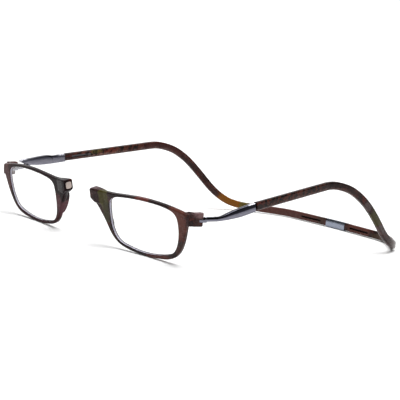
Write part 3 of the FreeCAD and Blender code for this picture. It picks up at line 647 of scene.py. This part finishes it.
for side, sg in SIDES:
    bpy.data.objects[side + "_arm_casting"].data.materials.append(arm_left if side == "left" else arm_right)
    dress(side + "_bridge_magnet", magnet_metal)
    dress(side + "_hinge_screw", screw_metal)
    dress(side + "_temple_blade", strip_metal)
    dress(side + "_temple_stop_pin", strip_metal)
    dress(side + "_rear_blade", strip_dark)
    dress(side + "_rear_stop_pin", strip_dark)
conn.data.materials.append(conn_metal)

# clear lenses
m = Nodes("lens_acrylic")
m.bsdf.inputs["Base Color"].default_value = (0.985, 0.99, 0.99, 1.0)
m.bsdf.inputs["Transmission Weight"].default_value = 1.0
m.bsdf.inputs["IOR"].default_value = 1.49
co = m.add("ShaderNodeTexCoord").outputs["Object"]
m.put(m.bsdf.inputs["Roughness"], m.remap(m.noise(co, 90.0, 2.0), 0.3, 0.7, 0.0, 0.012))
clear = m.add("ShaderNodeBsdfTransparent")
clear.inputs[0].default_value = (0.95, 0.955, 0.955, 1.0)
path_node = m.add("ShaderNodeLightPath")
share = m.math("MAXIMUM", path_node.outputs["Is Shadow Ray"], path_node.outputs["Is Diffuse Ray"])
both = m.add("ShaderNodeMixShader")
m.put(both.inputs[0], share)
m.put(both.inputs[1], m.bsdf.outputs[0])
m.put(both.inputs[2], clear.outputs[0])
m.put(m.tree.nodes["Material Output"].inputs[0], both.outputs[0])
# the lens's ground edge
g = Nodes("lens_ground_edge")
co = g.add("ShaderNodeTexCoord").outputs["Object"]
dust = g.noise(co, 900.0, 4.0, 0.6)
g.put(g.bsdf.inputs["Base Color"], g.mix(g.remap(dust, 0.3, 0.7), srgb(172, 168, 186), srgb(200, 196, 210)))
g.put(g.bsdf.inputs["Roughness"], g.remap(dust, 0.3, 0.7, 0.40, 0.55))
g.bump(dust, 0.15, 0.02)
ground = g.mat
for side, sg in SIDES:
    bpy.data.objects[side + "_lens_clear"].data.materials.append(m.mat)
    bpy.data.objects[side + "_lens_clear"].data.materials.append(ground)

# ------------------------------------------------------------------ camera
K = 1.03
AZ, EL, ROLL = math.radians(48.25), math.radians(7.93), math.radians(6.05)
back = Vector((math.sin(AZ) * math.cos(EL), -math.cos(AZ) * math.cos(EL), math.sin(EL)))
target = Vector((21.45 * K, 60.0 * K - Y_MID, 21.77 * K)) * MM
place = target + back * (708.4 * K * MM)
right = Vector((math.cos(AZ), math.sin(AZ), 0))
up = right.cross(-back)
cr, sr = math.cos(ROLL), math.sin(ROLL)
cx = right * cr + up * sr
cy = up * cr - right * sr
cam_data = bpy.data.cameras.new("camera")
cam = bpy.data.objects.new("camera", cam_data)
bpy.context.scene.collection.objects.link(cam)
cam.matrix_world = Matrix(((cx.x, cy.x, back.x, place.x), (cx.y, cy.y, back.y, place.y),
                           (cx.z, cy.z, back.z, place.z), (0, 0, 0, 1)))
cam_data.sensor_fit = "HORIZONTAL"
cam_data.sensor_width = 36.0
cam_data.lens = 1425.5 / 400.0 * 36.0
cam_data.clip_start = 0.05
cam_data.clip_end = 60.0
bpy.context.scene.camera = cam

# ------------------------------------------------------------------ light and floor
scene = bpy.context.scene
scene.view_settings.view_transform = "Standard"
world = bpy.data.worlds.new("studio")
scene.world = world
world.use_nodes = True
wt = world.node_tree
bg = wt.nodes["Background"]


def wmath(op, a, b=0.0, clamp=False):
    n = wt.nodes.new("ShaderNodeMath")
    n.operation = op
    n.use_clamp = clamp
    for k, v in enumerate((a, b)):
        if isinstance(v, bpy.types.NodeSocket):
            wt.links.new(v, n.inputs[k])
        else:
            n.inputs[k].default_value = v
    return n.outputs[0]


def wstep(value, a, b):
    n = wt.nodes.new("ShaderNodeMapRange")
    n.interpolation_type = "SMOOTHSTEP"
    wt.links.new(value, n.inputs[0])
    n.inputs[1].default_value, n.inputs[2].default_value = a, b
    return n.outputs[0]


# white backdrop behind the object, bright ceiling, dim room behind the camera
co = wt.nodes.new("ShaderNodeTexCoord")
sep = wt.nodes.new("ShaderNodeSeparateXYZ")
wt.links.new(co.outputs["Generated"], sep.inputs[0])
gx, gy, gz = sep.outputs
along = wmath("ADD", wmath("MULTIPLY", gx, -0.746), wmath("MULTIPLY", gy, 0.666))
drop = wmath("MULTIPLY", wstep(along, 0.15, 0.55), wstep(gz, 0.72, 0.45))
ceiling = wstep(gz, 0.80, 0.93)
lit = wmath("ADD", wmath("MULTIPLY", drop, 0.95), wmath("MULTIPLY", ceiling, 1.25))
lit = wmath("ADD", lit, 0.05)
lights = wt.nodes.new("ShaderNodeLightPath")
keep = wmath("SUBTRACT", 1.0, lights.outputs["Is Camera Ray"])
total = wmath("ADD", wmath("MULTIPLY", lit, keep), wmath("MULTIPLY", lights.outputs["Is Camera Ray"], 1.02))
wt.links.new(total, bg.inputs[1])
bg.inputs[0].default_value = (1.0, 1.0, 1.0, 1.0)

sun_data = bpy.data.lights.new("overhead_soft", "SUN")
sun_data.energy = 3.3
sun_data.angle = math.radians(58)
sun = bpy.data.objects.new("overhead_soft", sun_data)
bpy.context.scene.collection.objects.link(sun)
sun_from = Vector((0.20, 0.12, 0.97))
sun.rotation_euler = sun_from.to_track_quat("Z", "Y").to_euler()

floor_me = bpy.data.meshes.new("floor")
floor_me.from_pydata([(-20, -20, -0.0002), (20, -20, -0.0002), (20, 20, -0.0002), (-20, 20, -0.0002)], [], [(0, 1, 2, 3)])
floor = bpy.data.objects.new("floor", floor_me)
bpy.context.scene.collection.objects.link(floor)
fm = bpy.data.materials.new("floor_white")
fm.use_nodes = True
fb = fm.node_tree.nodes["Principled BSDF"]
fb.inputs["Base Color"].default_value = (0.92, 0.92, 0.92, 1)
fb.inputs["Roughness"].default_value = 0.8
fb.inputs["Specular IOR Level"].default_value = 0.2
floor_me.materials.append(fm)
